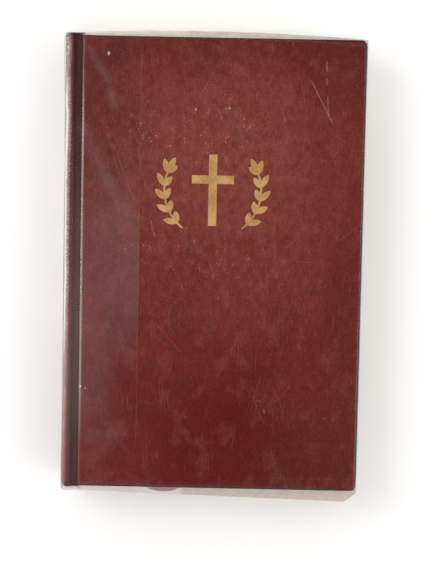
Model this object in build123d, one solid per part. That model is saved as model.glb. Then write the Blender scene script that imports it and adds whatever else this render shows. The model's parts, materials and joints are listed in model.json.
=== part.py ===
"""Closed case-bound bible in a clear slip-on jacket, lying on its back cover.

X runs from the spine to the fore edge, Y from the tail to the head, Z from the back cover up.
The pieces are drawn with X = 0 at the outside of the spine and Y = 0 at the middle of the cover,
then moved so that the origin is under the middle of the whole book.
"""

import math
import os

from build123d import *

os.makedirs("parts", exist_ok=True)

# ---- driving dimensions, mm ----
WIDTH = 144.0  # spine to fore edge, over the jacket
COVER_H = 216.0  # head to tail of the covered boards
THICK = 34.0  # back to front, over the jacket
MID_Z = THICK / 2

FILM = 0.3  # clear jacket film
CLOTH = 0.4  # covering material
BOARD = 2.6
PASTE = 0.2  # pastedown over the turn-ins
FLAP_FILM = 0.25
LEAF = 0.2

JOINT_X = 10.0  # where the boards begin
SLEEVE_X = 9.0  # where the jacket's flat sleeves begin
FORE_X = WIDTH - 0.4  # fore edge of the covered boards
CORNER_R = 2.4
TURN_IN = 15.0
PASTE_MARGIN = 3.0
FLAP_X = 60.0  # inner edge of the jacket's pocket flap

SPINE_CX = 37.3  # centre of the rounded spine, from its outside
INLAY = 1.0
SHELL_HALF = 14.2  # half height of the stiff part of the spine cover
INLAY_HALF = 12.6

BLOCK_X = 4.6  # back of the text block at mid thickness
BLOCK_H = 209.0
PAGE_W = 132.4
PAGES_Z = 4.5  # bottom of the text block
MID_GAP = 0.15  # half the space that the ribbon lies in
SECTIONS = 6  # in each half of the book
SECTION_GAP = 0.05
FOLD_R = 0.8

GLUE = 0.5
MULL = 0.3
LINER = 0.5
LINING_HALF = 11.6

BAND_R = 1.1  # head and tail band
RIBBON_W = 6.0
RIBBON_T = 0.2
RIBBON_TAIL_X = 56.0

HEAD_SEAM = (1.2, 2.4, 2.2, 1.0)  # how far the jacket's seam stands past the head, spine to fore edge
TAIL_SEAM = (1.9, 2.9, 4.0, 4.6)  # and past the tail
SEAM_T = 0.5
CLIP = 4.0  # clipped corner of the tail seam

HALF_H = COVER_H / 2

# heights through the back cover
Z_CLOTH = FILM
Z_BOARD = Z_CLOTH + CLOTH
Z_TURN = Z_BOARD + BOARD
Z_PASTE = Z_TURN + CLOTH
Z_FLAP = Z_PASTE + PASTE
Z_LEAF = Z_FLAP + FLAP_FILM + 0.05


def block(x0, x1, y0, y1, z0, z1):
    """A plain box between two corners."""
    return Pos((x0 + x1) / 2, (y0 + y1) / 2, (z0 + z1) / 2) * Box(x1 - x0, y1 - y0, z1 - z0)


def panel(x0, x1, half, z0, z1, radius):
    """A flat panel with its two fore-edge corners rounded."""
    body = block(x0, x1, -half, half, z0, z1)
    corners = body.edges().filter_by(Axis.Z).group_by(Axis.X)[-1]
    return fillet(corners, radius)


def section_face(*lines):
    """The face that lines in the XZ plane enclose."""
    return make_face(Plane.XZ * Wire(lines))


def prism(face, y0, y1):
    """A face of the XZ plane carried along Y."""
    return Pos(0, y1, 0) * extrude(face, amount=y1 - y0, dir=(0, -1, 0))


def round_back(outer, inner, half, y0, y1):
    """A slice of the rounded spine between two distances from the outside, at mid thickness."""
    lines = []
    ends = []
    for depth in (outer, inner):
        radius = SPINE_CX - depth
        reach = SPINE_CX - math.sqrt(radius**2 - half**2)
        low = (reach, MID_Z - half)
        top = (reach, MID_Z + half)
        lines.append(ThreePointArc(low, (depth, MID_Z), top))
        ends.append((low, top))
    lines.append(Line(ends[0][0], ends[1][0]))
    lines.append(Line(ends[0][1], ends[1][1]))
    return prism(section_face(*lines), y0, y1)


def back_x(half):
    """Where the back of the text block is, at this height from mid thickness."""
    return SPINE_CX - math.sqrt((SPINE_CX - BLOCK_X) ** 2 - half**2)


def strip(points, thickness, y0, y1):
    """A bent sheet: its outside runs through the points, its thickness is on their left."""
    inside = []
    for n, (x, z) in enumerate(points):
        before = points[max(n - 1, 0)]
        after = points[min(n + 1, len(points) - 1)]
        ways = []
        for (ax, az), (bx, bz) in ((before, (x, z)), ((x, z), after)):
            long = math.hypot(bx - ax, bz - az)
            if long > 0:
                ways.append((-(bz - az) / long, (bx - ax) / long))
        nx = sum(w[0] for w in ways)
        nz = sum(w[1] for w in ways)
        size = math.hypot(nx, nz)
        nx, nz = nx / size, nz / size
        spread = thickness / (nx * ways[0][0] + nz * ways[0][1])
        inside.append((x + nx * spread, z + nz * spread) if n else (x + thickness / nx, z))
    outline = Polyline(*points, *reversed(inside), close=True)
    return prism(make_face(Plane.XZ * outline), y0, y1)


def to_front(shape):
    """The same piece on the front cover."""
    return mirror(shape, about=Plane.XY.offset(MID_Z))


def save(shape, node):
    """Moves a piece to the shared origin and writes it."""
    export_step(Pos(SHIFT_X, SHIFT_Y, 0) * shape, f"parts/{node}.step")


def save_pair(shape, node):
    """Writes a piece of the back cover, and the same piece of the front cover."""
    save(shape, "back_" + node)
    save(to_front(shape), "front_" + node)


# ---- clear sleeve of the jacket, a pocket with welded head and tail seams ----
pocket = panel(SLEEVE_X, WIDTH, HALF_H + 0.35, 0, Z_FLAP + FLAP_FILM, CORNER_R + 0.4)
pocket -= panel(SLEEVE_X - 5, FORE_X, HALF_H, FILM, Z_FLAP, CORNER_R)
pocket -= block(SLEEVE_X - 5, FLAP_X, -HALF_H - 1, HALF_H + 1, Z_FLAP - 1.2, Z_FLAP + 1)


def seam(reach, way):
    """The welded seam that stands past the head (way 1) or the tail (way -1)."""
    edge = way * HALF_H
    right = WIDTH - CORNER_R - 0.6
    clip = CLIP if way < 0 else 1.0
    xs = [SLEEVE_X, WIDTH * 0.33, WIDTH * 0.66, right - clip]
    outer = [(x, edge + way * r) for x, r in zip(xs, reach)]
    lines = [
        Spline(*outer),
        Line(outer[-1], (right, edge + way * max(reach[-1] - clip, 0.5))),
        Line((right, edge + way * max(reach[-1] - clip, 0.5)), (right, edge + way * 0.1)),
        Line((right, edge + way * 0.1), (SLEEVE_X, edge + way * 0.1)),
        Line((SLEEVE_X, edge + way * 0.1), outer[0]),
    ]
    low = (Z_FLAP + FLAP_FILM) / 2 - SEAM_T / 2
    return Pos(0, 0, low) * extrude(make_face(Wire(lines)), amount=SEAM_T, dir=(0, 0, 1))


sleeve = pocket + seam(HEAD_SEAM, 1) + seam(TAIL_SEAM, -1)
SHIFT_X = -WIDTH / 2
SHIFT_Y = -sleeve.bounding_box().center().Y

# ---- boards and what is on them ----
def turned_opening(z0, z1):
    """The inside of the board that the turned-in cloth leaves bare."""
    return block(JOINT_X, FORE_X - TURN_IN, -HALF_H + TURN_IN, HALF_H - TURN_IN, z0, z1)


board = panel(JOINT_X, FORE_X - CLOTH, HALF_H - CLOTH, Z_BOARD, Z_TURN, CORNER_R - CLOTH)
cloth = panel(JOINT_X, FORE_X, HALF_H, Z_CLOTH, Z_PASTE, CORNER_R)
cloth = cloth - board - turned_opening(Z_TURN, Z_PASTE)
wing = block(JOINT_X, JOINT_X + 28, -HALF_H + 16, HALF_H - 16, Z_TURN, Z_TURN + 0.15)
pastedown = block(
    JOINT_X - 0.8,
    FORE_X - PASTE_MARGIN,
    -HALF_H + PASTE_MARGIN,
    HALF_H - PASTE_MARGIN,
    Z_PASTE,
    Z_FLAP,
)
pastedown = pastedown + turned_opening(Z_TURN, Z_PASTE) - wing
flyleaf = block(JOINT_X - 1, FORE_X - 4, -BLOCK_H / 2, BLOCK_H / 2, Z_LEAF, Z_LEAF + LEAF)

save_pair(board, "board")
save_pair(wing, "mull_wing")
save_pair(pastedown, "pastedown")
save_pair(flyleaf, "flyleaf")
save(cloth, "back_cover_cloth")


# ---- gilt ornament stamped into the front cover: a cross between two laurel sprigs ----
ORNAMENT_X = JOINT_X + 62.0
ORNAMENT_Y = HALF_H - 72.0
CROSS_H = 34.0
CROSS_W = 20.0
CROSS_ARM = 4.0
ARM_UP = 5.0  # how far the arms lie above the middle of the cross
SPRIG_R = 23.0
SPRIG_LOW = -52.0
SPRIG_HIGH = 24.0
STEM_W = 0.9
LEAF_PAIRS = 5
LEAF_SPREAD = 36.0
LEAF_L = 7.4
LEAF_W = 3.0
GILT = 0.1


def leaf(root_x, root_y, turn, length):
    """One pointed leaf, with its foot a little inside the stem."""
    foot = -0.7
    tip = length + foot
    middle = (tip + foot) / 2
    edges = [
        ThreePointArc((foot, 0), (middle, LEAF_W / 2), (tip, 0)),
        ThreePointArc((tip, 0), (middle, -LEAF_W / 2), (foot, 0)),
    ]
    return Pos(root_x, root_y) * (Rot(0, 0, turn) * make_face(Wire(edges)))


def on_sprig(angle, radius=SPRIG_R):
    """A point on the sprig's arc."""
    return (radius * math.cos(math.radians(angle)), radius * math.sin(math.radians(angle)))


def laurel():
    """The right-hand sprig: a curved stem with pairs of leaves and one at its tip."""
    inner = SPRIG_R - STEM_W / 2
    outer = SPRIG_R + STEM_W / 2
    middle = (SPRIG_LOW + SPRIG_HIGH) / 2
    arcs = []
    for radius in (inner, outer):
        ends = [on_sprig(angle, radius) for angle in (SPRIG_LOW, middle, SPRIG_HIGH)]
        arcs.append(ThreePointArc(*ends))
    caps = [Line(on_sprig(a, inner), on_sprig(a, outer)) for a in (SPRIG_LOW, SPRIG_HIGH)]
    shape = make_face(Wire(arcs + caps))
    for n in range(LEAF_PAIRS):
        angle = SPRIG_LOW + 9 + n * (SPRIG_HIGH - SPRIG_LOW - 12) / (LEAF_PAIRS - 1)
        root = on_sprig(angle)
        shape += leaf(*root, angle + 90 - LEAF_SPREAD, LEAF_L)
        shape += leaf(*root, angle + 90 + LEAF_SPREAD, LEAF_L * 0.85)
    return shape + leaf(*on_sprig(SPRIG_HIGH), SPRIG_HIGH + 94, LEAF_L)


cross = Rectangle(CROSS_ARM, CROSS_H) + Pos(0, ARM_UP) * Rectangle(CROSS_W, CROSS_ARM)
mark = cross + laurel() + mirror(laurel(), about=Plane.YZ)
gilt = Pos(ORNAMENT_X, ORNAMENT_Y, THICK - FILM - GILT) * extrude(mark, amount=GILT)
save(gilt, "cover_ornament")
save(to_front(cloth) - gilt, "front_cover_cloth")

# ---- clear jacket: its sleeves and spine ----
save(sleeve, "jacket_back_sleeve")
save(to_front(sleeve), "jacket_front_sleeve")

JACKET_LOW = -HALF_H - TAIL_SEAM[0]
JACKET_HIGH = HALF_H + HEAD_SEAM[0]
save(round_back(0, FILM, SHELL_HALF, JACKET_LOW, JACKET_HIGH), "jacket_spine")

# ---- rounded spine of the case ----
save(round_back(FILM, FILM + CLOTH, SHELL_HALF, -HALF_H, HALF_H), "spine_cloth")
inlay_in = FILM + CLOTH + INLAY
save(
    round_back(FILM + CLOTH, inlay_in, INLAY_HALF, -HALF_H + CLOTH, HALF_H - CLOTH),
    "spine_inlay",
)

# ---- cloth and film across the joint ----
GROOVE_Z = 3.0  # outside of the groove's floor
SHOULDER_Z = 1.0
shell_x = SPINE_CX - math.sqrt((SPINE_CX - FILM) ** 2 - SHELL_HALF**2)
shell_z = MID_Z - SHELL_HALF
film_x = SPINE_CX - math.sqrt(SPINE_CX**2 - SHELL_HALF**2)
groove = [
    (shell_x, shell_z),
    (shell_x + 0.7, SHOULDER_Z + 0.5),
    (shell_x + 1.4, SHOULDER_Z),
    (shell_x + 2.2, SHOULDER_Z + 0.3),
    (shell_x + 3.4, GROOVE_Z - 0.4),
    (shell_x + 4.2, GROOVE_Z),
    (JOINT_X - CLOTH - 0.5, GROOVE_Z),
    (JOINT_X - CLOTH, GROOVE_Z - 0.5),
    (JOINT_X - CLOTH, Z_CLOTH),
]
# the sheet's thickness lies on the inside of the case
groove_cloth = strip(list(groove), CLOTH, -HALF_H, HALF_H)
save_pair(groove_cloth, "joint_cloth")
bridge = [
    (film_x, shell_z),
    (film_x + 0.8, SHOULDER_Z + 0.1),
    (film_x + 1.7, SHOULDER_Z - 0.55),
    (SLEEVE_X - 1.0, 0.05),
    (SLEEVE_X, 0.05),
]
bridge_film = strip(list(bridge), 0.22, JACKET_LOW, JACKET_HIGH)
save(bridge_film, "jacket_back_joint")
save(to_front(bridge_film), "jacket_front_joint")

# ---- spine linings ----
glue_out = BLOCK_X - GLUE
mull_out = glue_out - MULL
liner_out = mull_out - LINER
lined = BLOCK_H / 2 - 1.0
save(round_back(glue_out, BLOCK_X, LINING_HALF, -lined, lined), "spine_glue")
save(round_back(mull_out, glue_out, LINING_HALF, -lined + 8, lined - 8), "mull_spine")
save(round_back(liner_out, mull_out, LINING_HALF, -lined, lined), "spine_liner")


def end_band(way):
    """The rolled band at the head (way 1) or the tail (way -1) of the text block."""
    centre = BLOCK_X + 0.5
    near = way * (BLOCK_H / 2 + 0.1)
    far = near + way * 2 * BAND_R
    band = round_back(centre - BAND_R, centre + BAND_R, LINING_HALF - 0.4, min(near, far), max(near, far))
    ends = band.edges().filter_by(GeomType.CIRCLE)
    return fillet(ends, BAND_R * 0.8)


save(end_band(1), "head_band")
save(end_band(-1), "tail_band")

# ---- text block, in sections ----
pitch = (MID_Z - MID_GAP - PAGES_Z) / SECTIONS
for n in range(SECTIONS):
    low = PAGES_Z + n * pitch
    near = back_x(MID_Z - low)
    leaves = block(near, near + PAGE_W, -BLOCK_H / 2, BLOCK_H / 2, low, low + pitch - SECTION_GAP)
    folds = leaves.edges().filter_by(Axis.Y).group_by(Axis.X)[0]
    leaves = fillet(folds, FOLD_R)
    save(leaves, f"back_section_{n + 1}")
    save(to_front(leaves), f"front_section_{n + 1}")

# ---- ribbon marker between the two halves ----
middle = Spline(
    (9.0, BLOCK_H / 2 - 2),
    (30.0, 20.0),
    (RIBBON_TAIL_X, -BLOCK_H / 2),
    (RIBBON_TAIL_X - 1.0, -HALF_H - 1.0),
)
sides = []
STEPS = 24
for way in (1, -1):
    points = []
    for n in range(STEPS + 1):
        at = middle @ (n / STEPS)
        along = middle % (n / STEPS)
        points.append((at.X - way * along.Y * RIBBON_W / 2, at.Y + way * along.X * RIBBON_W / 2))
    sides.append(points)
edges = [Spline(*sides[0]), Spline(*sides[1])]
edges += [Line(sides[0][0], sides[1][0]), Line(sides[0][-1], sides[1][-1])]
ribbon = extrude(make_face(Wire(edges)), amount=RIBBON_T, dir=(0, 0, 1))
save(Pos(0, 0, MID_Z - RIBBON_T / 2) * ribbon, "ribbon_marker")
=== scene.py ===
import json
import math

import bpy
import numpy as np
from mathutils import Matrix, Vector, noise

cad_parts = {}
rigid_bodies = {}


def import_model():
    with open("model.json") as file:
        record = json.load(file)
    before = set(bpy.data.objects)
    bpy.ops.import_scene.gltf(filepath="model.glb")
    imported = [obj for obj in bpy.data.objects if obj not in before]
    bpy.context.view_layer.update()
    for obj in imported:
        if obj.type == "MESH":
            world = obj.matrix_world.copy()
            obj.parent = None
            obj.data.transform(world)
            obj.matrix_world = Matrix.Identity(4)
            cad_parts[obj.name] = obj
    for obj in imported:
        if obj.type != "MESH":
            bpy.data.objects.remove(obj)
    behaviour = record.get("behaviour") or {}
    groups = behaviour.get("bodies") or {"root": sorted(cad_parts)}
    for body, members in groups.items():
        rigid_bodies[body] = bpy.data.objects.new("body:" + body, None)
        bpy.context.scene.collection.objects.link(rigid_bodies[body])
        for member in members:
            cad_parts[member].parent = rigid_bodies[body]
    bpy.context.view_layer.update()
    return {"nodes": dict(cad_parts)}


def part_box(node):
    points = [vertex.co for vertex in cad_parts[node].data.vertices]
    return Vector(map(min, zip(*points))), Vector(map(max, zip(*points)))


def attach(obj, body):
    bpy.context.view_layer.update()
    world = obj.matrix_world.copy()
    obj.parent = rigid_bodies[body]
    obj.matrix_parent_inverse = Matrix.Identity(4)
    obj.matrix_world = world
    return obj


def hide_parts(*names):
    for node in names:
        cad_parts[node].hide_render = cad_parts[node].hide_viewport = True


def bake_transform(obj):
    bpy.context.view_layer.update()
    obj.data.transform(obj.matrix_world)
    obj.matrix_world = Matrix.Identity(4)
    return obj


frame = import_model()

MM = 0.001
# The closed book in mm: X from the outside of the spine, Y from the middle of the boards, Z from the table
WIDTH, THICK, HALF_H = 144.0, 34.0, 108.0
MID_Z = THICK / 2
JOINT_X, FORE_X = 10.0, 143.6  # covered boards, from the joint to the fore edge
CORNER_R = 2.4
TURN_IN, CLOTH_LOW = 15.0, 3.7  # width of the cloth's turned-in edges, and how deep they lie
FILM_T, CLOTH_T = 0.3, 0.45  # jacket film and covering cloth
CAP = 109.15  # the case's spine reaches this far towards head and tail
SEAM_IN, SEAM_Z = 1.6, 2.05  # the jacket closes to its welds this far inside the boards' ends, at this depth
FLAP_X, FLAP_Z = 60.0, 4.1  # inner edge and depth of the jacket's flaps
BLOCK_H, PAGE_W, PAGES_Z = 209.0, 132.4, 4.5  # text block
SPINE_CX, BLOCK_X = 37.3, 4.6  # centre of the rounded spine, and back of the text block at mid thickness
LINING_HALF = 11.6  # half height of the linings on its back
RIBBON_W, RIBBON_T = 5.8, 0.16
low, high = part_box("front_board")
SHIFT_Y = (low[1] + high[1]) / 2 / MM
RNG = np.random.default_rng(7)


def put(points):
    """Points drawn with X = 0 at the outside of the spine, in mm, moved to the shared frame, in metres."""
    points = np.asarray(points, float).reshape(-1, 3)
    return (points + [-WIDTH / 2, SHIFT_Y, 0]) * MM


def srgb(r, g, b, a=1.0):
    """A linear colour from the usual 0 to 255 values."""
    return tuple(
        c / 255 / 12.92 if c / 255 <= 0.04045 else ((c / 255 + 0.055) / 1.055) ** 2.4
        for c in (r, g, b)
    ) + (a,)


def darker(color, share):
    return srgb(*[c * share for c in color])


# ---------------------------------------------------------------- materials
class Mat:
    """Builds a node material: n() makes a node, and an input given as a socket is linked."""

    def __init__(self, name):
        self.m = bpy.data.materials.new(name)
        self.m.use_nodes = True
        self.t = self.m.node_tree
        self.t.nodes.clear()

    def n(self, kind, out=0, props=None, **ins):
        node = self.t.nodes.new("ShaderNode" + kind)
        for key, value in (props or {}).items():
            setattr(node, key, value)
        for key, value in ins.items():
            numbered = key[0] == "i" and key[1:].isdigit()
            self.feed(node.inputs[int(key[1:])] if numbered else node.inputs[key.replace("_", " ")], value)
        return node.outputs[out]

    def feed(self, socket, value):
        if isinstance(value, bpy.types.NodeSocket):
            self.t.links.new(value, socket)
        else:
            socket.default_value = value

    def math(self, op, a, b=0.0, clamp=False):
        return self.n("Math", props={"operation": op, "use_clamp": clamp}, i0=a, i1=b)

    def ramp(self, value, lo, hi, out_lo=0.0, out_hi=1.0, smooth=True):
        props = {"interpolation_type": "SMOOTHSTEP" if smooth else "LINEAR"}
        ends = {"From_Min": lo, "From_Max": hi, "To_Min": out_lo, "To_Max": out_hi}
        return self.n("MapRange", props=props, Value=value, **ends)

    def mix(self, fac, a, b):
        node = self.t.nodes.new("ShaderNodeMix")
        node.data_type = "RGBA"
        for slot, value in ((0, fac), (6, a), (7, b)):
            self.feed(node.inputs[slot], value)
        return node.outputs[2]

    def coords(self, scale, uv=True):
        """Texture coordinates in millimetres times a scale along each axis."""
        where = self.n("TexCoord", out=2 if uv else 3)
        k = 1.0 if uv else 1000.0
        return self.n("Mapping", Vector=where, Scale=tuple(k * s for s in scale))

    def noise(self, vector, scale=1.0, detail=3.0, rough=0.55, dist=0.0):
        how = {"Scale": scale, "Detail": detail, "Roughness": rough, "Distortion": dist}
        return self.n("TexNoise", Vector=vector, **how)

    def bump(self, height, strength, distance):
        """Fine relief; the distance is in mm."""
        return self.n("Bump", Height=height, Strength=strength, Distance=distance * MM)

    def skin(self, color, rough, bump, **ins):
        """A principled surface as the material's output."""
        return self.out(self.n("BsdfPrincipled", Base_Color=color, Roughness=rough, Normal=bump, **ins))

    def out(self, shader):
        output = self.t.nodes.new("ShaderNodeOutputMaterial")
        self.t.links.new(shader, output.inputs["Surface"])
        return self.m


def product(m, *values):
    """Values multiplied in a row of nodes."""
    out = values[0]
    for value in values[1:]:
        out = m.math("MULTIPLY", out, value)
    return out


def total(m, *values):
    """Values added in a row of nodes."""
    out = values[0]
    for value in values[1:]:
        out = m.math("ADD", out, value)
    return out


def spot(m, u, v, x, y, rx, ry, soft=0.6):
    """1 inside an ellipse at a place on the cover, in mm, fading to 0 outside."""
    dx = m.math("DIVIDE", m.math("SUBTRACT", u, x), rx)
    dy = m.math("DIVIDE", m.math("SUBTRACT", v, y), ry)
    d = m.math("SQRT", m.math("ADD", product(m, dx, dx), product(m, dy, dy)))
    return m.ramp(d, 1.0 + soft, 1.0 - soft)


def split(m, vector):
    """X and Y of a vector."""
    x = m.n("SeparateXYZ", Vector=vector)
    return x, m.t.nodes[-1].outputs[1]


def split_uv(m):
    """U and V of the mesh, which are millimetres across and up the cover."""
    return split(m, m.n("TexCoord", out=2))


def stroke(m, a, b, width, fade=1.0):
    """1 on a straight stroke from a to b, in mm on the cover, fading to 0 at its sides and ends."""
    (ax, ay), (bx, by) = a, b
    turn = -math.atan2(by - ay, bx - ax)
    c, s = math.cos(turn), math.sin(turn)
    back = (-(c * ax - s * ay), -(s * ax + c * ay), 0)
    x, y = split(m, m.n("Mapping", Vector=m.n("TexCoord", out=2), Rotation=(0, 0, turn), Location=back))
    across = m.ramp(m.math("ABSOLUTE", y), width, 0.0)
    length = math.hypot(bx - ax, by - ay)
    return product(m, across, m.ramp(x, 0, fade), m.ramp(x, length, length - fade))


def hairlines(m, turn, bend, rarity, shift, long=0.045, thin=2.1):
    """Fine long scratches that run one way, slightly bowed: 1 on a hairline, 0 between them."""
    spin = (0, 0, math.radians(turn))
    x, y = split(m, m.n("Mapping", Vector=m.n("TexCoord", out=2), Rotation=spin, Location=(shift, shift, 0)))
    bowed = m.math("ADD", y, product(m, x, x, bend))
    where = m.n("CombineXYZ", X=m.math("MULTIPLY", x, long), Y=m.math("MULTIPLY", bowed, thin))
    return m.ramp(m.noise(where, 1.0, 0.6, 0.5), rarity, rarity + 0.07)


# Rubbed marks where the gilt colour shows on the cloth: start, end, half width in mm, strength
RUBS = (
    ((117.4, 89.0), (128.6, 68.0), 0.30, 0.50),
    ((103.5, 76.0), (106.0, 68.5), 0.28, 0.40),
    ((124.6, 98.5), (124.9, 92.5), 0.48, 0.55),
    ((124.9, 90.0), (125.2, 86.0), 0.44, 0.45),
    ((125.4, 82.0), (126.2, 71.0), 0.50, 0.34),
    ((97.0, 74.0), (98.6, 70.0), 0.28, 0.36),
    ((112.4, 90.0), (117.0, 68.0), 0.28, 0.16),
    ((42.6, 22.0), (45.0, 12.5), 0.28, 0.40),
    ((94.6, -64.4), (98.0, -65.4), 0.40, 0.26),
    ((98.4, -68.0), (98.9, -71.5), 0.50, 0.34),
    ((126.6, -73.6), (128.6, -71.9), 0.34, 0.40),
    ((103.6, -79.0), (104.2, -81.6), 0.38, 0.22),
)


def leatherette():
    """Maroon imitation leather: grained, rubbed paler in the upper middle, gilt dust round the stamping."""
    m = Mat("cover_cloth")
    u, v = split_uv(m)
    grain = m.noise(m.coords((1.45, 0.25, 1)), 1.0, 4, 0.65)
    pebble = m.noise(m.coords((1.35, 1.15, 1)), 1.0, 3, 0.75)
    mottle = m.noise(m.coords((0.3, 0.2, 1)), 1.0, 5, 0.7, 0.4)
    cloud = m.noise(m.coords((0.035, 0.026, 1)), 1.0, 5, 0.62, 0.6)
    base = m.mix(m.ramp(cloud, 0.36, 0.64), srgb(92, 27, 23), srgb(103, 34, 30))
    # the colour's large patches
    warm_low = product(m, spot(m, u, v, 92, 24, 42, 40, 0.8), 0.5)
    warm = m.math("MAXIMUM", spot(m, u, v, 74, 48, 49, 42, 0.8), warm_low)
    base = m.mix(product(m, warm, m.ramp(mottle, 0.3, 0.62, 0.5, 0.95)), base, srgb(118, 56, 48))
    deep = spot(m, u, v, 80, -94, 42, 46, 0.7)
    base = m.mix(product(m, deep, m.ramp(mottle, 0.35, 0.6, 0.6, 0.95)), base, srgb(81, 8, 6))
    low_right = product(m, m.ramp(v, -55, -100), m.ramp(u, 86, 112))
    brown = m.math("MAXIMUM", m.ramp(u, 112, 140, 0.0, 0.6), low_right)
    base = m.mix(product(m, brown, m.ramp(cloud, 0.3, 0.6, 0.5, 0.95)), base, srgb(83, 26, 20))
    # tone of the grain, then dusty high points
    tone = total(m, product(m, grain, 0.75), product(m, pebble, 1.15), product(m, mottle, 0.8), -1.35)
    tone = m.math("MAXIMUM", product(m, tone, m.ramp(warm, 0.0, 1.0, 1.5, 0.85)), -0.15)
    head_dim = product(m, m.ramp(v, 84, 107), -0.16)
    left_dim = product(m, spot(m, u, v, 17, 68, 22, 40, 0.5), -0.14)
    right_lift = product(m, spot(m, u, v, 139, 46, 12, 34, 0.6), 0.15)
    value = total(m, tone, head_dim, left_dim, right_lift, 1.0)
    base = m.n("HueSaturation", Color=base, Value=value)
    dusty = m.noise(m.coords((0.11, 0.08, 1)), 1.0, 4, 0.6)
    scuffed = m.math("MAXIMUM", spot(m, u, v, 103, -66, 14, 12), spot(m, u, v, 108, -30, 12, 16, 0.7))
    dust = m.math("MAXIMUM", m.ramp(dusty, 0.46, 0.66, 0.2, 0.9), scuffed)
    lively = total(m, product(m, warm, 0.35), dust)
    base = m.mix(m.ramp(dusty, 0.5, 0.66, 0.0, 0.15), base, srgb(130, 74, 68))
    base = m.mix(product(m, m.ramp(grain, 0.54, 0.72), lively, 0.3), base, srgb(140, 84, 72))
    base = m.mix(product(m, m.ramp(pebble, 0.61, 0.71), lively, 0.66), base, srgb(158, 104, 88))
    # gilt dust and chips in clumps, most of them above the stamping
    speck = m.noise(m.coords((1.5, 1.05, 1)), 1.0, 2, 0.6)
    clump = m.noise(m.coords((0.3, 0.17, 1)), 1.0, 2, 0.55, 0.5)
    near = m.math("MAXIMUM", spot(m, u, v, 66, 64, 42, 20), product(m, spot(m, u, v, 74, 4, 50, 20), 0.75))
    crowd = product(m, m.ramp(clump, 0.5, 0.66), near, 0.17)
    chip = m.ramp(total(m, speck, crowd), 0.70, 0.78)
    base = m.mix(product(m, chip, 0.56), base, srgb(176, 134, 96))
    # painted glints: pale grey specks standing in for light caught on the gilt dust
    painted_glint = m.ramp(total(m, speck, product(m, crowd, -0.6)), 0.235, 0.2)
    base = m.mix(product(m, painted_glint, 0.6), base, srgb(138, 130, 132))
    for a, b, width, strength in RUBS:
        worn = product(m, stroke(m, a, b, width), m.ramp(pebble, 0.38, 0.6, 0.2, 1.1), strength)
        base = m.mix(worn, base, srgb(184, 136, 96))
    # painted shade: darker in the joint groove and round the board's rounded edges, where shade falls
    groove = product(m, m.ramp(u, 3.6, 5.4), m.ramp(u, 9.75, 9.2))
    base = m.mix(product(m, groove, 0.9), base, srgb(60, 25, 20))
    # painted shade along the board's edges at head, tail and fore edge
    shaded_edge_v = m.math("MAXIMUM", m.ramp(v, 106.9, 107.5), m.ramp(v, -106.5, -107.1))
    rim = m.math("MAXIMUM", m.ramp(u, 142.0, 142.9), shaded_edge_v)
    base = m.mix(product(m, rim, 0.92), base, srgb(56, 30, 27))
    bump = m.bump(total(m, product(m, grain, 0.5), product(m, pebble, 0.6)), 0.25, 0.2)
    return m.skin(base, m.ramp(pebble, 0.3, 0.7, 0.5, 0.7), bump, Specular_IOR_Level=0.06)


# Scratches in the film: start, end, half width in mm, strength
SCRATCHES = (
    ((118.4, 87.4), (128.6, 68.0), 0.22, 0.06),
    ((36.0, 56.0), (41.0, 34.0), 0.5, 0.035),
    ((24.5, 58.0), (35.0, 30.0), 0.4, 0.045),
    ((22.0, 62.0), (28.0, 42.0), 0.4, 0.045),
    ((46.0, -28.0), (58.5, -42.0), 0.3, 0.05),
    ((50.0, -25.5), (56.0, -34.0), 0.3, 0.04),
    ((93.0, -62.0), (99.0, -76.0), 0.30, 0.06),
    ((104.0, -66.0), (112.0, -56.0), 0.30, 0.04),
    ((76.0, -54.0), (86.0, -34.0), 0.24, 0.035),
    ((62.0, 12.0), (70.0, 4.0), 0.28, 0.04),
    ((98.0, 2.0), (99.6, -14.0), 0.30, 0.045),
    ((107.0, 4.0), (107.8, -6.0), 0.30, 0.045),
    ((112.5, 3.0), (120.0, 2.4), 0.36, 0.035),
    ((12.5, -70.0), (20.0, -69.4), 0.25, 0.06),
)
# Specks of dust: place, half width, half height, strength
SPOTS = (
    (22.1, 99.6, 0.6, 0.95, 0.34),
    (10.6, -59.3, 0.4, 0.45, 0.4),
    (13.0, -60.2, 0.35, 0.35, 0.35),
    (79.5, 75.0, 0.3, 0.42, 0.4),
    (63.6, 74.0, 0.3, 0.6, 0.35),
)
# Cloudy bands where the film stands off the cover: start, end, half width, strength
HAZES = (
    ((11.0, 104.0), (24.0, 84.0), 3.6, 0.030),
    ((22.0, 86.0), (26.0, 72.0), 3.6, 0.030),
    ((9.0, 68.0), (24.0, 34.0), 6.0, 0.026),
    ((20.0, 44.0), (34.0, 20.0), 5.0, 0.014),
    ((30.0, -80.0), (12.0, -100.0), 6.0, 0.016),
    ((11.0, -86.0), (34.0, -78.0), 6.0, 0.012),
    ((92.0, -60.0), (114.0, -74.0), 8.0, 0.005),
)


# Fine hairlines in the film: direction in degrees, bow, rarity, shift
HAIRS = ((-84, 0.002, 0.7, 3.0), (-68, 0.004, 0.7, 11.0), (-118, -0.005, 0.7, 23.0), (-32, 0.006, 0.74, 41.0))


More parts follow.
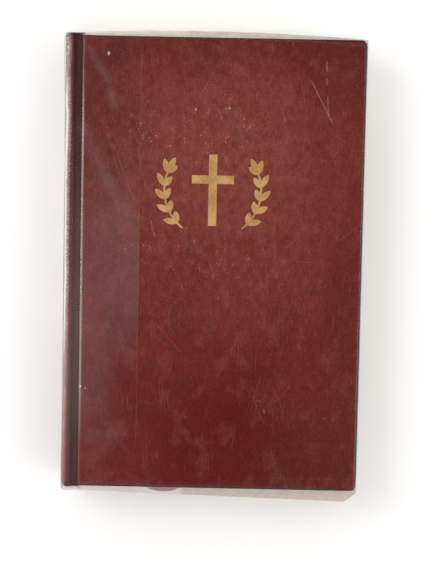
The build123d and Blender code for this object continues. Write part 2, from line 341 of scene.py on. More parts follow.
def marks_of_use(m, u, v, cloud, tiny):
    """How milky the film is with cloudy bands, scratches, hairlines, dust and the pale pane by the spine."""
    pane = spot(m, u, v, 27, -3, 22, 38, 0.5)
    low_pane = product(m, spot(m, u, v, 13, -38, 14, 40), 0.9)
    left = product(m, m.math("MAXIMUM", pane, low_pane), m.ramp(u, 37.9, 37.3))
    veil = product(m, m.ramp(u, 46, 8), 0.006)
    fog = product(m, total(m, product(m, left, 0.036), veil), m.ramp(cloud, 0.3, 0.6, 0.8, 1.1))
    for a, b, width, strength in HAZES:
        fog = total(m, fog, product(m, stroke(m, a, b, width, 4.0), strength))
    hair = m.ramp(tiny, 0.35, 0.55, 0.35, 1.1)
    for a, b, width, strength in SCRATCHES:
        fog = total(m, fog, product(m, stroke(m, a, b, width), hair, strength))
    worn = m.ramp(m.noise(m.coords((0.05, 0.04, 1)), 1.0, 3, 0.6), 0.4, 0.62, 0.25, 1.0)
    for hairs in HAIRS:
        fog = total(m, fog, product(m, hairlines(m, *hairs), worn, m.ramp(u, 9.0, 12.0), 0.047))
    for x, y, rx, ry, strength in SPOTS:
        fog = total(m, fog, product(m, spot(m, u, v, x, y, rx, ry, 0.4), strength))
    crease = m.ramp(m.math("ABSOLUTE", m.math("SUBTRACT", u, 37.6)), 0.3, 0.05)
    ends = product(m, m.ramp(v, -88, -80), m.ramp(v, 106, 100), m.ramp(cloud, 0.35, 0.65, 0.4, 1.2))
    return total(m, fog, product(m, crease, ends, 0.035))


def bend_whitening_and_highlights(m, u, v, tiny):
    """How milky the film is where it bends, partly stress whitening and partly painted highlight: over the
    spine's shoulder, the board's lip and the corners.
    """
    # painted highlight and stress whitening: a wavy pale streak along the spine's shoulder, fading out
    # towards head and tail
    wander = m.math("SUBTRACT", m.noise(m.coords((0.0, 0.055, 1)), 1.0, 3, 0.6), 0.5)
    middle = total(m, product(m, wander, 1.2), m.ramp(v, 35, 70, 0.9, 1.9))
    at = m.math("SUBTRACT", u, middle)
    shoulder_whitening_and_highlight = product(m, m.ramp(m.math("ABSOLUTE", at), 0.85, 0.25), m.ramp(v, -52, -24), m.ramp(v, 96, 74))
    shoulder_whitening_and_highlight = product(m, shoulder_whitening_and_highlight, 0.46)
    # painted reflection: a paler band down the side of the spine, running into the streak
    paler = product(m, m.ramp(v, -105, -10, 0.6, 1.0), m.ramp(v, 76, 98, 1.0, 0.6))
    side = product(m, m.ramp(at, 3.0, 0.2, 0.0, 0.26), m.ramp(u, -5.0, 0.4), paler)
    side = product(m, side, m.ramp(tiny, 0.3, 0.7, 0.7, 1.2))
    # crumpled film at the head of the spine: stress whitening, partly painted highlight on its crinkles
    crumple = m.noise(m.coords((0.9, 0.7, 1)), 1.0, 4, 0.75)
    crushed = product(m, spot(m, u, v, 0.8, 102, 3.4, 8, 0.5), m.ramp(crumple, 0.48, 0.62), 0.32)
    dx = m.math("MAXIMUM", m.math("SUBTRACT", u, FORE_X - CORNER_R), 0.0)
    dy = m.math("MAXIMUM", m.math("SUBTRACT", m.math("ABSOLUTE", v), HALF_H - CORNER_R), 0.0)
    reach = m.math("SQRT", total(m, product(m, dx, dx), product(m, dy, dy)))
    corner = product(m, m.ramp(reach, 2.25, 2.4), m.ramp(dx, 0.2, 0.5), m.ramp(dy, 0.2, 0.5), 0.3)
    # painted highlight and stress whitening along the board's lip, fading towards head and tail
    lip = product(m, m.ramp(u, 9.5, 10.1), m.ramp(u, 11.2, 10.5), m.ramp(tiny, 0.3, 0.7, 0.7, 1.3), 0.2)
    along = product(m, m.ramp(v, -92, -50, 0.15, 1.0), m.ramp(v, 98, 60, 0.12, 1.0))
    return total(m, shoulder_whitening_and_highlight, side, crushed, corner, product(m, lip, along))


def film(name, haze, milky=0.0, seamy=False):
    """Clear vinyl: mostly transparent, with a soft gloss, haze and marks of use, or a milky weld if seamy."""
    m = Mat(name)
    u, v = split_uv(m)
    cloud = m.noise(m.coords((0.045, 0.032, 1)), 1.0, 5, 0.62, 0.6)
    wave = m.noise(m.coords((0.05, 0.02, 1)), 1.0, 3, 0.5)
    tiny = m.noise(m.coords((1.7, 0.9, 1)), 1.0, 3, 0.6)
    fog = total(m, m.ramp(cloud, 0.3, 0.75, haze * 0.3, haze * 1.7), milky)
    if seamy:
        streaky = m.ramp(m.noise(m.coords((0.16, 0.45, 1)), 1.0, 4, 0.7, 0.4), 0.35, 0.65, -0.08, 0.08)
        pressed = product(m, spot(m, u, v, 51.2, -109.2, 8.6, 2.3, 0.4), -0.66)  # clearer over the ribbon
        fog = product(m, total(m, fog, streaky), total(m, pressed, 1.0))
        tint = srgb(192, 179, 168)
        shine = 0.028
    else:
        groove = product(m, m.ramp(u, 3.8, 5.2), m.ramp(u, 9.6, 9.0))
        veil = product(m, groove, m.ramp(v, 95, 10, 0.0, 0.02))
        fog = total(m, fog, marks_of_use(m, u, v, cloud, tiny), bend_whitening_and_highlights(m, u, v, tiny), veil)
        cool = product(m, m.ramp(u, 11.2, 12.4), m.ramp(u, 141.6, 139.6), m.ramp(fog, 0.26, 0.1))
        tint = m.mix(cool, srgb(240, 228, 220), srgb(205, 213, 217))
        shine = product(m, m.ramp(groove, 0.0, 1.0, 0.028, 0.006), m.ramp(v, 105.4, 106.4, 1.0, 0.3))
    grazing = m.math("POWER", m.n("LayerWeight", out=1, Blend=0.5), 5.0)
    fac = m.math("ADD", fog, product(m, grazing, 0.1), clamp=True)
    bump = m.bump(total(m, product(m, wave, 4.0), product(m, tiny, 0.15)), 0.3, 0.6)
    skin = m.n("BsdfPrincipled", Base_Color=tint, Roughness=0.3, Normal=bump, Specular_IOR_Level=0.4)
    clear = m.n("BsdfTransparent", Color=(0.97, 0.93, 0.89, 1) if seamy else (0.985, 0.98, 0.975, 1))
    gloss = m.n("BsdfGlossy", Color=(1, 1, 1, 1), Roughness=0.17, Normal=bump)
    sheen = m.n("MixShader", Fac=total(m, product(m, grazing, 0.55), shine), i1=clear, i2=gloss)
    return m.out(m.n("MixShader", Fac=fac, i1=sheen, i2=skin))


def paper(name, color, text=False, uv=True, along=(0.02, 0.02, 14.0)):
    """Paper with its fibres and the lines of its leaves; a printed page has columns of meaningless marks."""
    m = Mat(name)
    fibre = m.noise(m.coords((0.5, 0.5, 0.5), uv), 1.0, 5, 0.7)
    lines = m.noise(m.coords(along, uv), 1.0, 3, 0.7)
    base = m.mix(m.ramp(fibre, 0.3, 0.7), srgb(*color), darker(color, 0.94))
    base = m.mix(m.ramp(lines, 0.45, 0.62, 0.0, 0.1 if text else 0.5), base, darker(color, 0.74))
    if text:
        u, v = split_uv(m)
        rows = m.math("FRACT", product(m, v, 0.34))
        row = product(m, m.ramp(rows, 0.2, 0.26), m.ramp(rows, 0.72, 0.66))
        words = m.ramp(m.noise(m.coords((1.1, 0.34, 1)), 1.0, 2, 0.8), 0.46, 0.5)
        page = product(m, m.ramp(v, -92, -91.5), m.ramp(v, 90, 89.5))
        columns = [product(m, m.ramp(u, a, a + 0.4), m.ramp(u, b, b - 0.4)) for a, b in ((27, 74), (79, 126))]
        ink = product(m, words, row, page, total(m, *columns))
        base = m.mix(product(m, ink, 0.62), base, srgb(70, 62, 56))
    return m.skin(base, 0.82, m.bump(lines, 0.25, 0.2), Specular_IOR_Level=0.2)


def foil():
    """Gilt stamping, two tones of gold in fine grains, worn through in places."""
    m = Mat("gold_foil")
    flecks = m.noise(m.coords((1.7, 1.7, 1.7), False), 1.0, 4, 0.75)
    cloud = m.noise(m.coords((0.14, 0.14, 0.14), False), 1.0, 3, 0.6)
    tone = m.ramp(total(m, cloud, product(m, flecks, 1.1)), 0.98, 1.14)
    base = m.mix(tone, srgb(198, 156, 98), srgb(172, 129, 74))
    worn = product(m, m.ramp(flecks, 0.62, 0.72), m.ramp(cloud, 0.4, 0.7, 0.3, 0.85))
    base = m.mix(worn, base, srgb(122, 62, 50))
    return m.skin(base, 0.42, m.bump(flecks, 0.3, 0.1), Metallic=m.ramp(worn, 0.0, 1.0, 0.3, 0.0))


def plain(name, color, rough=0.8, speckle=0.12, scale=0.8, uv=False):
    """One colour with a fine speckle of a darker one."""
    m = Mat(name)
    grit = m.noise(m.coords((scale, scale, scale), uv), 1.0, 5, 0.7)
    base = m.mix(m.ramp(grit, 0.3, 0.7), srgb(*color), darker(color, 1 - speckle))
    return m.skin(base, rough, m.bump(grit, 0.2, 0.2), Specular_IOR_Level=0.25)


def woven(name, color, other, per_mm=(3.0, 3.0), rough=0.6, stripes=0.0):
    """A weave of two colours, or stripes of them per mm along the piece."""
    m = Mat(name)
    u, v = split_uv(m)
    warp = m.math("SINE", product(m, u, per_mm[0] * math.tau))
    weft = m.math("SINE", product(m, v, per_mm[1] * math.tau))
    weave = product(m, warp, weft)
    fuzz = m.noise(m.coords((2.0, 2.0, 1)), 1.0, 4, 0.7)
    if stripes:
        band = m.math("SINE", product(m, v, stripes * math.tau))
        base = m.mix(m.ramp(band, -0.15, 0.15), srgb(*color), srgb(*other))
    else:
        base = m.mix(m.ramp(weave, -0.6, 0.8, 0.0, 0.5), srgb(*color), srgb(*other))
    base = m.mix(m.ramp(fuzz, 0.4, 0.8, 0.0, 0.35), base, darker(color, 0.7))
    return m.skin(base, rough, m.bump(weave, 0.35, 0.2), Sheen_Weight=0.25)


CLOTH = leatherette()
FILM = film("clear_film", 0.002)
WELD = film("clear_film_weld", 0.04, milky=0.62, seamy=True)
PAGES = paper("page_paper", (232, 222, 200), along=(0.02, 9.0, 1.0))
PRINT = paper("page_print", (238, 230, 210), text=True, along=(0.3, 0.3, 1.0))
ENDPAPER = paper("endpaper", (230, 222, 204), uv=False, along=(0.05, 0.05, 0.05))
FOIL = foil()
BOARD = plain("greyboard", (138, 128, 116), speckle=0.25, scale=1.4)
CARD = plain("inlay_card", (150, 138, 118), speckle=0.2, scale=1.4)
GAUZE = woven("mull_gauze", (222, 214, 196), (176, 164, 140), (0.8, 0.8), 0.9)
GLUE = plain("glue", (206, 188, 148), 0.4, 0.2, 0.3, True)
KRAFT = plain("kraft_paper", (168, 132, 92), 0.85, 0.2, 0.7, True)
BAND = woven("band_cloth", (224, 214, 194), (122, 34, 30), (2.2, 2.2), 0.7, stripes=0.55)
RIBBON = woven("ribbon", (122, 38, 34), (158, 62, 54), (2.6, 2.2), 0.38)
THREAD = plain("ribbon_fray", (214, 176, 160), 0.6, 0.2, 1.0, True)


# ---------------------------------------------------------------- meshes
def make(name, points, faces, uv, mats, index=None, smooth=True):
    """A mesh object from points in book millimetres."""
    mesh = bpy.data.meshes.new(name)
    mesh.from_pydata([tuple(p) for p in put(points)], [], [tuple(int(i) for i in f) for f in faces])
    layer = mesh.uv_layers.new(name="UVMap")
    uv = np.asarray(uv, float).reshape(-1, 2)
    loops = np.empty(len(mesh.loops), int)
    mesh.loops.foreach_get("vertex_index", loops)
    layer.data.foreach_set("uv", uv[loops].astype(np.float32).ravel())
    for m in mats:
        mesh.materials.append(m)
    if index is not None:
        mesh.polygons.foreach_set("material_index", np.asarray(index, np.int32))
    mesh.polygons.foreach_set("use_smooth", [smooth] * len(mesh.polygons))
    mesh.validate()
    mesh.update()
    o = bpy.data.objects.new(name, mesh)
    bpy.context.scene.collection.objects.link(o)
    return o


def quads(rows, cols, start=0, flip=False, closed=False):
    """Faces of a grid of points, row by row."""
    faces = []
    for r in range(rows - 1):
        for c in range(cols if closed else cols - 1):
            a = start + r * cols + c
            b = start + r * cols + (c + 1) % cols
            d, e = a + cols, b + cols
            faces.append((a, d, e, b) if flip else (a, b, e, d))
    return faces


def face_of(side, depth):
    """Height of something that lies this deep under a cover's outside."""
    return THICK - depth if side == "front" else depth


def wobble(x, y, size, seed):
    """Smooth noise with bumps about this many mm long."""
    return noise.noise(Vector((x / size, y / size, seed)))


def add_solid(o, thickness, offset=-1.0):
    """Gives a sheet its thickness, in mm."""
    mod = o.modifiers.new("thickness", "SOLIDIFY")
    mod.thickness = thickness * MM
    mod.offset = offset
    mod.use_even_offset = True
    return o


# ---- covering material on each board
def board_cover(side):
    """Cover cloth on one board: its face, wrapped over the edges and corners, and turned in underneath."""
    top_r, low_r = 0.75, 0.45  # of its rounded edges
    top, bottom = FILM_T, CLOTH_LOW
    flat = CORNER_R - top_r
    arc = top_r * math.pi / 2
    straight = bottom - top - top_r - low_r
    whole = flat + arc + straight + low_r * math.pi / 2

    def wrap(reach):
        """How far out and how deep the cloth is, this far along it past the flat face."""
        reach = min(reach, whole)
        if reach <= flat:
            return reach, top
        reach -= flat
        if reach <= arc:
            a = reach / top_r
            return flat + top_r * math.sin(a), top + top_r * (1 - math.cos(a))
        reach -= arc
        if reach <= straight:
            return CORNER_R, top + top_r + reach
        a = min((reach - straight) / low_r, math.pi / 2)
        return CORNER_R - low_r * (1 - math.cos(a)), bottom - low_r * (1 - math.sin(a))

    extra = [flat * 0.5, flat] + [flat + arc * k / 4 for k in range(1, 5)]
    extra += [flat + arc + straight * k / 3 for k in range(1, 4)] + [whole]
    core_x = FORE_X - CORNER_R
    core_y = HALF_H - CORNER_R
    left = JOINT_X - 0.4  # the cloth rolls over the board's edge into the joint
    xs = [(left, 2.6), (left, 1.6), (left, 0.75)]
    xs += [(left + 0.06, 0.45), (left + 0.25, 0.17), (left + 0.75, 0.0)]
    xs += [(x, 0.0) for x in np.linspace(left + 2.5, core_x, 58)]
    xs += [(core_x + e, 0.0) for e in extra]
    ys = [-core_y - e for e in reversed(extra)] + list(np.linspace(-core_y, core_y, 92))
    ys += [core_y + e for e in extra]
    points, uv = [], []
    for y in ys:
        for x, drop in xs:
            dx = max(x - core_x, 0)
            dy = y - max(min(y, core_y), -core_y)
            reach = math.hypot(dx, dy)
            out, depth = wrap(reach)
            k = out / reach if reach > 1e-9 else 0
            px = min(x, core_x) + dx * k
            py = max(min(y, core_y), -core_y) + dy * k
            depth = max(depth, top + drop)
            if depth < top + 0.5:
                depth += 0.11 + 0.03 * wobble(x, y, 24, 1.7) + 0.02 * wobble(x, y, 9, 5.1)
            if side == "front":  # the head fore corner is knocked down
                blunt = math.hypot(px - FORE_X, py - HALF_H)
                depth += 0.16 * math.exp(-((blunt / 5.0) ** 2))
            points.append((px, py, face_of(side, depth)))
            uv.append((x, y))
    cols = len(xs)
    faces = quads(len(ys), cols, flip=side == "back")
    # turned-in edges on the inside of the board, mitred at the corners
    first = len(points)
    z = face_of(side, bottom - 0.01)
    for inset in (0.4, TURN_IN):
        end = HALF_H - inset
        for x, y in ((JOINT_X, -end), (FORE_X - inset, -end), (FORE_X - inset, end), (JOINT_X, end)):
            points.append((x, y, z))
            uv.append((x, y))
    for k in range(3):
        f = [first + k, first + k + 1, first + k + 5, first + k + 4]
        faces.append(tuple(f) if side == "back" else tuple(reversed(f)))
    o = make(f"{side}_cover", points, faces, uv, [CLOTH])
    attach(o, f"{side}_cover")
    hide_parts(f"{side}_cover_cloth")
    return o


for side in ("back", "front"):
    board_cover(side)


# ---- the case's spine and joints: each half runs from mid thickness to its board
def arc_x(depth, half):
    """X of the rounded spine this deep under its outside, half its height away from the middle."""
    return SPINE_CX - math.sqrt((SPINE_CX - depth) ** 2 - half**2)


def smooth_path(keys, steps):
    """Points along a Catmull-Rom curve through the keys."""
    keys = [np.array(k, float) for k in keys]
    keys = [2 * keys[0] - keys[1]] + keys + [2 * keys[-1] - keys[-2]]
    out = []
    for a, b, c, d in zip(keys, keys[1:], keys[2:], keys[3:]):
        for k in range(steps):
            t = k / steps
            bend, twist = 2 * a - 5 * b + 4 * c - d, 3 * b - a - 3 * c + d
            out.append(0.5 * (2 * b + (c - a) * t + bend * t**2 + twist * t**3))
    out.append(keys[-2])
    return out


def outline(keys, steps):
    """A smooth outline across the joint, its outward normals, and a texture U that is X past the spine."""
    line = [np.array(q, float) for q in smooth_path(keys, steps)]
    normals = []
    for k in range(len(line)):
        a, b = line[max(k - 1, 0)], line[min(k + 1, len(line) - 1)]
        d = (b - a) / max(np.linalg.norm(b - a), 1e-9)
        normals.append(np.array([d[1], -d[0]]))
    turn = next(k for k, q in enumerate(line) if q[1] < 5.5)
    us = [q[0] for q in line]
    for k in range(turn - 1, -1, -1):
        us[k] = us[k + 1] - float(np.linalg.norm(line[k + 1] - line[k]))
    return line, normals, us


def rows_along(low, high, count):
    """Rows from tail to head, closer together near the ends."""
    ease = [0.0, 0.1, 0.3, 0.7, 1.3, 2.2]
    middle = list(np.linspace(low + 4, high - 4, count))
    return [low + e for e in ease] + middle + [high - e for e in reversed(ease)]


def case_half(side):
    """Cover cloth from the middle of the spine, round its shoulder and through the groove to a board."""
    keys = [(arc_x(FILM_T, h), MID_Z - h) for h in (0, 3, 6, 8.5, 10.5)]
    keys += [(2.05, 4.6), (2.5, 3.2), (3.15, 2.15), (3.95, 1.5), (4.85, 1.3), (5.6, 1.75), (6.2, 2.5)]
    keys += [(6.9, 3.05), (7.8, 3.2), (8.8, 3.15), (9.4, 3.0), (9.66, 2.5), (9.7, 1.6)]
    line, normals, us = outline(keys, 4)
    ys = rows_along(-CAP, CAP, 84)
    points, uv = [], []
    n = len(line)
    for y in ys:
        t = max(0.0, 1 - (CAP - abs(y)) / 1.3)
        tuck = 0.9 * (1 - math.sqrt(max(0.0, 1 - t * t)))
        for k in range(n):
            held = min(1.0, (n - 1 - k) / 5)
            q = line[k] - normals[k] * tuck * held
            q = q + normals[k] * 0.08 * wobble(us[k] * 2, y, 13, 9.0) * held
            points.append((q[0], y, face_of(side, q[1])))
            uv.append((us[k], y))
    faces = quads(len(ys), n, flip=side == "back")
    o = make(f"case_joint_{side}", points, faces, uv, [CLOTH])
    add_solid(o, CLOTH_T)
    bpy.context.view_layer.objects.active = o
    o.select_set(True)
    bpy.ops.object.modifier_apply(modifier="thickness")
    o.select_set(False)
    if side == "front":
        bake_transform(o)
        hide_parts("front_joint_cloth")
    else:
        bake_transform(o)
        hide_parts("back_joint_cloth", "spine_cloth")
    return o


for side in ("back", "front"):
    case_half(side)


# ---- clear jacket
# How far the welds stand past the boards: X, width
HEAD_RIM = ((0, 1.2), (12, 1.4), (18, 1.8), (40, 2.75), (65, 2.85), (85, 2.7), (99, 2.35), (113, 1.9))
HEAD_RIM += ((128, 1.15), (134, 0.8), (139, 0.45), (144.5, 0.25))
TAIL_RIM = ((0, 2.3), (12, 2.35), (27, 2.7), (41, 3.3), (70, 3.75), (85, 4.2), (113, 4.8), (138.6, 5.5))
TAIL_RIM += ((143.8, 1.3), (144.5, 1.0))


def between(keys, x):
    """The value at x on a line through the keys."""
    return float(np.interp(x, [k[0] for k in keys], [k[1] for k in keys]))


def sleeve(side):
    """The pocket on one board: outer film, rolled fore edge, flap, and the welds at head and tail."""
    outer = [(9.5, 0.62), (9.53, 0.42), (9.62, 0.22), (9.8, 0.07), (10.1, 0.0), (11.0, 0.0)]
    outer += [(x, 0.0) for x in np.linspace(13, 142.0, 62)]
    fold_x, fold_r = 142.3, 1.75
    turns = np.linspace(0.25, math.pi - 0.25, 9)
    fold = [(fold_x + fold_r * math.sin(a), SEAM_Z - SEAM_Z * math.cos(a)) for a in turns]
    flap = [(x, FLAP_Z) for x in np.linspace(142.0, FLAP_X, 40)]
    cols = outer + fold + flap
    n_outer = len(outer) + 4
    body_y = HALF_H - SEAM_IN
    ts = [0.0, 0.18, 0.36, 0.54, 0.7, 0.86, 1.0]
    rows = [("tail", t) for t in reversed(ts)] + [("tail", -0.5)]
    rows += [("body", y) for y in np.linspace(-body_y, body_y, 76)]
    rows += [("head", -0.5)] + [("head", t) for t in ts]
    points, uv = [], []
    run = [9.4]
    for a, b in zip(cols, cols[1:]):
        run.append(run[-1] + math.dist(a, b))
    for kind, value in rows:
        for c, (x, depth) in enumerate(cols):
            if kind == "body":
                y, z = value, depth
                if 10 < x < 142 and c < n_outer:
                    ripple = 0.10 * wobble(x, y, 30, 2.0) + 0.05 * wobble(x, y, 11, 8.0) - 0.05
                    z += min(1.0, (x - 10) / 6) * ripple
            else:
                rim = between(TAIL_RIM if kind == "tail" else HEAD_RIM, x)
                rim += 0.16 * wobble(x, 0, 9, 3.0 if kind == "tail" else 6.0) * min(1.0, rim)
                sign = -1 if kind == "tail" else 1
                start = HALF_H - (0.22 if kind == "tail" else 0.04)
                y = sign * (start + (HALF_H + rim - start) * value if value >= 0 else HALF_H - SEAM_IN / 2)
                t = (abs(y) - body_y) / (SEAM_IN + rim)
                z = depth + (SEAM_Z - depth) * (t * t * (3 - 2 * t)) ** 1.1
                z += (0.22 * wobble(x, y, 7, 4.0) + 0.12 * wobble(x, y, 2.6, 1.0)) * max(value, 0)
            points.append((x, y, face_of(side, z)))
            uv.append((run[c], y))
    n = len(cols)
    faces = quads(len(rows), n, flip=side == "back")
    # the welds at head and tail get the milky weld finish, and so does the rolled fore edge, where it stands
    # for stress whitening and a painted highlight along the fold
    index = []
    for r in range(len(rows) - 1):
        rim = r < len(ts) - 1 or r >= len(rows) - len(ts)
        index += [1 if rim or len(outer) + 2 <= c <= len(outer) + 6 else 0 for c in range(n - 1)]
    o = make(f"jacket_{side}", points, faces, uv, [FILM, WELD], index)
    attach(o, f"{side}_cover")
    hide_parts(f"jacket_{side}_sleeve")
    return o


def jacket_half(side):
    """Jacket film from the middle of the spine to a sleeve, drawn in at mid length, crinkled at the head."""
    keys = [(0.0, 17), (0.05, 13.5), (0.16, 10), (0.24, 7.2), (0.3, 5.2), (0.45, 3.9), (0.85, 2.75)]
    keys += [(1.55, 1.85), (2.6, 1.25), (3.8, 0.98), (4.8, 1.0), (5.7, 1.5), (6.6, 2.2), (7.6, 2.45)]
    keys += [(8.5, 1.9), (9.1, 1.1), (9.5, 0.62)]
    line, normals, us = outline(keys, 5)
    low, high = -HALF_H - 2.7, CAP + 0.25
    ys = rows_along(low, high, 190)
    points, uv = [], []
    n = len(line)
    for y in ys:
        near_head = math.exp(-(((HALF_H - 5 - y) / 6.0) ** 2))
        drawn_in = 1.1 * max(0.0, 1 - ((y + 12) / 105) ** 2)
        t = max(0.0, 1 - (high - y) / 3.0, 1 - (y - low) / 3.4)
        tuck = 1.5 * (1 - math.sqrt(max(0.0, 1 - t * t)))
        for k, q in enumerate(line):
            hold = min(1.0, (n - 1 - k) / 8) * min(1.0, k / 10)
            fine = (0.08 + 0.5 * near_head) * wobble(us[k] * 3, y * 1.3, 3.2, 2.0)
            crinkle = 0.16 * wobble(us[k] * 1.6, y, 11, 12.0) + fine
            q = q + normals[k] * ((crinkle * 0.55 - 0.14) * hold - tuck * min(1.0, (n - 1 - k) / 12))
            if q[1] > 4.6:
                room = max(0.0, arc_x(FILM_T, MID_Z - min(q[1], MID_Z)) - 0.15 - q[0])
            else:
                room = 1.3 * max(0.0, min(1.0, (4.6 - us[k]) / 2.4))
            q[0] += min(drawn_in, room)
            points.append((q[0], y, face_of(side, q[1])))
            uv.append((us[k], y))
    faces = quads(len(ys), n, flip=side == "back")
    index = [int(y < 0.9 - CAP) for y in ys[1:] for _ in range(n - 1)]  # the weld runs on past the tail
    o = make(f"jacket_joint_{side}", points, faces, uv, [FILM, WELD], index)
    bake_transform(o)
    if side == "front":
        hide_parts("jacket_front_joint")
    else:
        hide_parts("jacket_back_joint", "jacket_spine")
    return o


for side in ("back", "front"):
    sleeve(side)
    jacket_half(side)


# ---- text block, in two halves
def back_of_block(half):
    """X of the text block's back, this far from mid thickness: rounded, with a low ridge at the middle."""
    return arc_x(BLOCK_X, half) - 1.3 * math.exp(-((half / 3.0) ** 2))


def text_half(side):
    """Half of the text block, with the uneven edges of its leaves and a printed page on top."""
    levels, across, along = 60, 26, 34
    top = MID_Z - 0.02
    zs = [PAGES_Z + (top - PAGES_Z) * k / levels for k in range(levels + 1)]
    edge = [tuple(size * RNG.standard_normal() for size in (0.10, 0.08, 0.08)) for _ in zs]
    ys = list(np.linspace(-1, 1, along))
    points, uv = [], []
    loops = []
    for z, (fore, tail, head) in zip(zs, edge):
        half = MID_Z - z
        x0 = back_of_block(half) + 0.35 * max(0.0, 0.35 - half)
        x1 = arc_x(BLOCK_X, half) + PAGE_W + fore
        xs = np.linspace(x0, x1, across)
        bottom, ceiling = -BLOCK_H / 2 + tail, BLOCK_H / 2 + head
        middle, reach = (bottom + ceiling) / 2, (ceiling - bottom) / 2
        loop = [(x, bottom) for x in xs]
        loop += [(x1, middle + t * reach) for t in ys[1:-1]]
        loop += [(x, ceiling) for x in reversed(xs)]
        loop += [(x0, middle - t * reach) for t in ys[1:-1]]
        loops.append(loop)
    n = len(loops[0])
    for z, loop in zip(zs, loops):
        for k, (x, y) in enumerate(loop):
            inner = min(1, (z - PAGES_Z) / 3, max(0, (MID_Z - z) / 3))
            swell = 0.05 * wobble(x, y, 22, z * 0.4) * inner
            points.append((x, y, face_of(side, z + swell)))
            uv.append((x + y, z))
    faces = quads(len(zs), n, closed=True, flip=side == "front")
    index = [0] * len(faces)
    # the open page, and the leaf that lies on the endpaper
    for level, mat in ((levels, 1), (0, 0)):
        z = zs[level]
        loop = loops[level]
        xs = np.linspace(min(p[0] for p in loop), max(p[0] for p in loop), across)
        first = len(points)
        rows = np.linspace(min(p[1] for p in loop), max(p[1] for p in loop), along)
        for y in rows:
            for x in xs:
                points.append((x, y, face_of(side, z)))
                uv.append((x, y))
        up = (level == levels) == (side == "back")
        grid = quads(len(rows), len(xs), first, flip=not up)
        faces += grid
        index += [mat] * len(grid)
    o = make(f"pages_{side}", points, faces, uv, [PAGES, PRINT], index)
    o.data.polygons.foreach_set("use_smooth", [False] * len(o.data.polygons))
    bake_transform(o)
    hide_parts(*[f"{side}_section_{n + 1}" for n in range(6)])
    return o


def lining_half(side):
    """Glue, gauze and liner on the back of this half of the text block, in layers."""
    points, uv, faces, index = [], [], [], []
    hs = np.concatenate([[0.3, 0.5, 0.8, 1.1, 1.5], np.linspace(2.0, LINING_HALF, 20)])
    # they thin out towards the middle, where the two halves meet when the book is open
    full = np.clip((hs - 0.3) / 1.65, 0.1, 1.0) ** 1.5
    layers = ((0.02, 0.5, 103.5), (0.5, 0.8, 95.5), (0.8, 1.3, 103.5))  # inside, outside, half length
    for layer, (near, far, reach) in enumerate(layers):
        ring = [(h, near * k) for h, k in zip(hs, full)]
        ring += [(h, far * k) for h, k in zip(hs[::-1], full[::-1])]
        first = len(points)
        rows = np.linspace(-reach, reach, 12)
        for y in rows:
            for h, out in ring:
                points.append((back_of_block(h) - out, y, face_of(side, MID_Z - h)))
                uv.append((h, y))
        n = len(ring)
        grid = quads(len(rows), n, first, closed=True, flip=side == "back")
        faces += grid
        index += [layer] * len(grid)
        for row in (0, len(rows) - 1):
            for k in range(len(hs) - 1):
                a = first + row * n + k
                f = (a, a + 1, first + row * n + n - 2 - k, first + row * n + n - 1 - k)
                faces.append(f if (row == 0) == (side == "back") else tuple(reversed(f)))
                index.append(layer)
    o = make(f"linings_{side}", points, faces, uv, [GLUE, GAUZE, KRAFT], index, smooth=False)
    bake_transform(o)
    if side == "back":
        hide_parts("spine_glue", "mull_spine")
    else:
        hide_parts("spine_liner")
    return o


def band_half(side, end):
    """Half of the rolled band at the head or tail of the block's back."""
    sign = 1 if end == "head" else -1
    hs = np.linspace(0.0, LINING_HALF - 0.4, 30)
    points, uv = [], []
    around = 14
    for k, h in enumerate(hs):
        size = 1.0 if k < len(hs) - 1 else 0.55
        slim = min(1.0, 0.66 + 0.3 * h)  # so that the two halves clear each other when the book is open
        for c in range(around):
            a = math.tau * c / around
            x = back_of_block(h) + 0.75 + 1.05 * size * slim * math.cos(a)
            y = sign * (BLOCK_H / 2 + 0.95 + 1.0 * size * math.sin(a))
            points.append((x, y, face_of(side, MID_Z - h)))
            uv.append((a, h))
    faces = quads(len(hs), around, closed=True, flip=(side == "front") == (sign > 0))
    for row in (0, len(hs) - 1):
        faces.append([row * around + c for c in range(around)])
    o = make(f"{end}_band_{side}", points, faces, uv, [BAND])
    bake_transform(o)
    if side == "back":
        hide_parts(f"{end}_band")
    return o


for side in ("back", "front"):
    text_half(side)
    lining_half(side)
    for end in ("head", "tail"):
        band_half(side, end)


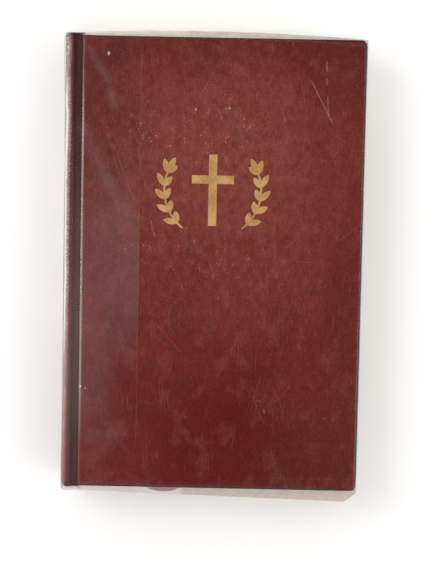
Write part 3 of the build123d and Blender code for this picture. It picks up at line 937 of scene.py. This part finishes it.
# ---- ribbon marker: lies between the halves, its cut end curls out at the tail
def ribbon():
    """The woven strip, leaning over as it leaves the block, and the threads of its frayed end."""
    keys = [(9, 102, 17), (22, 55, 17), (38, 0, 17), (52, -60, 17), (58.2, -103.0, 17)]
    keys += [(58.6, -106.2, 17.8), (57.8, -108.7, 19.6), (55.0, -110.0, 21.6), (50.9, -110.3, 23.2)]
    keys += [(46.8, -109.8, 24.0), (43.6, -108.9, 24.3)]
    steps, across = 8, 9
    line = smooth_path(keys, steps)
    points, uv, sides = [], [], []
    run = 0.0
    for k, p in enumerate(line):
        a, b = line[max(k - 1, 0)], line[min(k + 1, len(line) - 1)]
        d = (b - a) / np.linalg.norm(b - a)
        run += float(np.linalg.norm(p - line[max(k - 1, 0)]))
        past = (-BLOCK_H / 2 - p[1]) / 4.5
        free = max(0.0, min(1.0, past)) if k < len(line) - steps else 1.0
        flat = np.cross(d, [0, 0, 1])
        flat = flat / max(np.linalg.norm(flat), 1e-6)
        stand = np.cross(flat, d)
        lean = math.radians(46) * free * free * (3 - 2 * free)
        side_way = flat * math.cos(lean) + stand * math.sin(lean)
        sides.append(side_way)
        lift = np.cross(d, side_way)
        for c in range(across):
            s = (c / (across - 1) - 0.5) * RIBBON_W
            q = p + side_way * s + lift * 0.14 * free * math.cos(s * 1.1)
            points.append(q)
            uv.append((s, run))
    faces = quads(len(line), across)
    o = make("ribbon", points, faces, uv, [RIBBON])
    add_solid(o, RIBBON_T, 0.0)
    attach(o, "back_pages_6")
    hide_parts("ribbon_marker")
    # the frayed cut end
    tip, before, flat = line[-1], line[-3], sides[-1]
    d = (tip - before) / np.linalg.norm(tip - before)
    lift = np.cross(d, flat)
    points, faces, uv = [], [], []
    threads = 34
    for k in range(threads):
        s = (k / (threads - 1) - 0.5) * (RIBBON_W - 0.2)
        long = 0.5 + 0.8 * float(RNG.random())
        lean = 0.3 * float(RNG.standard_normal())
        root = tip + flat * s - d * 0.1
        end = root + d * long + flat * lean + lift * 0.2 * float(RNG.standard_normal())
        first = len(points)
        for base, width in ((root, 0.055), (end, 0.028)):
            points += [base - flat * width, base + lift * width * 1.4, base + flat * width]
            uv += [(s, 0), (s, 0.1), (s, 0.2)]
        for c in range(3):
            n = (c + 1) % 3
            faces.append((first + c, first + n, first + 3 + n, first + 3 + c))
    fray = make("ribbon_fray", points, faces, uv, [THREAD])
    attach(fray, "back_pages_6")


ribbon()


# ---- CAD nodes that stay shown get their real finish
def finish_nodes(names, material):
    for name in names:
        o = frame["nodes"][name]
        o.data.materials.clear()
        o.data.materials.append(material)


finish_nodes(("front_board", "back_board"), BOARD)
finish_nodes(("spine_inlay",), CARD)
finish_nodes(("front_pastedown", "back_pastedown", "front_flyleaf", "back_flyleaf"), ENDPAPER)
finish_nodes(("front_mull_wing", "back_mull_wing"), plain("mull_wing", (214, 204, 184), 0.9, 0.2, 0.9))
finish_nodes(("cover_ornament",), FOIL)

# ---------------------------------------------------------------- room, light and camera
bpy.ops.mesh.primitive_plane_add(size=6, location=(0, 0, -0.0006))
floor = bpy.context.object
floor.name = "floor"
white = Mat("floor_white")
matt = white.n("BsdfPrincipled", Base_Color=(0.92, 0.92, 0.92, 1), Roughness=0.9, Specular_IOR_Level=0.1)
floor.data.materials.append(white.out(matt))

# an even sky, dim right overhead so that the film doesn't mirror it
world = bpy.data.worlds.new("studio")
bpy.context.scene.world = world
world.use_nodes = True
tree = world.node_tree
sky = tree.nodes["Background"]
sky.inputs["Color"].default_value = (1.0, 0.995, 0.99, 1)
where = tree.nodes.new("ShaderNodeTexCoord")
height = tree.nodes.new("ShaderNodeSeparateXYZ")
dim = tree.nodes.new("ShaderNodeMapRange")
dim.interpolation_type = "SMOOTHSTEP"
for key, value in (("From Min", 0.86), ("From Max", 0.965), ("To Min", 0.9), ("To Max", 0.12)):
    dim.inputs[key].default_value = value
tree.links.new(where.outputs["Generated"], height.inputs[0])
tree.links.new(height.outputs["Z"], dim.inputs["Value"])
tree.links.new(dim.outputs["Result"], sky.inputs["Strength"])


def area(name, place, aim, size, power, color=(1, 1, 1)):
    """A rectangular light at a place in metres, turned to its aim."""
    data = bpy.data.lights.new(name, "AREA")
    data.shape = "RECTANGLE"
    data.size, data.size_y = size
    data.energy = power
    data.color = color
    o = bpy.data.objects.new(name, data)
    bpy.context.scene.collection.objects.link(o)
    o.location = place
    o.rotation_mode = "QUATERNION"
    o.rotation_quaternion = (Vector(aim) - Vector(place)).to_track_quat("-Z", "Y")
    return o


area("key_left", (-0.75, 0.35, 0.95), (0, 0, 0), (0.7, 0.9), 6.8, (1.0, 0.985, 0.97))
area("fill_right", (0.9, -0.3, 0.8), (0, 0, 0), (0.8, 0.8), 3.4, (0.97, 0.98, 1.0))
area("head_soft", (0.0, 1.0, 0.7), (0, 0, 0), (1.0, 0.5), 2.6)
window = area("window_left", (-1.2, -0.1, 0.3), (0, -0.1, 0.05), (0.28, 0.6), 3.0, (1.0, 0.97, 0.94))
window.visible_diffuse = False  # it shows only in the film's gloss
for o in bpy.context.scene.objects:
    if o.type == "LIGHT":
        o.visible_camera = False

# the photograph's viewpoint: a metre above the head of the book, tilted a little towards the tail
EYE = (6.161, 91.973, 982.616)  # past the middle of the cover, in mm
EYE_TURN = (-6.1805, 0.3288, 1.1229)  # degrees about X, Y and Z
LENS = 124.783

scene = bpy.context.scene
scene.view_settings.view_transform = "Standard"
cam = bpy.data.cameras.new("camera")
cam.sensor_width = 36.0
cam.lens = LENS
cam.clip_start, cam.clip_end = 0.05, 20.0
eye = bpy.data.objects.new("camera", cam)
scene.collection.objects.link(eye)
eye.location = Vector((EYE[0], EYE[1] + SHIFT_Y, EYE[2])) * MM
eye.rotation_euler = [math.radians(a) for a in EYE_TURN]
scene.camera = eye
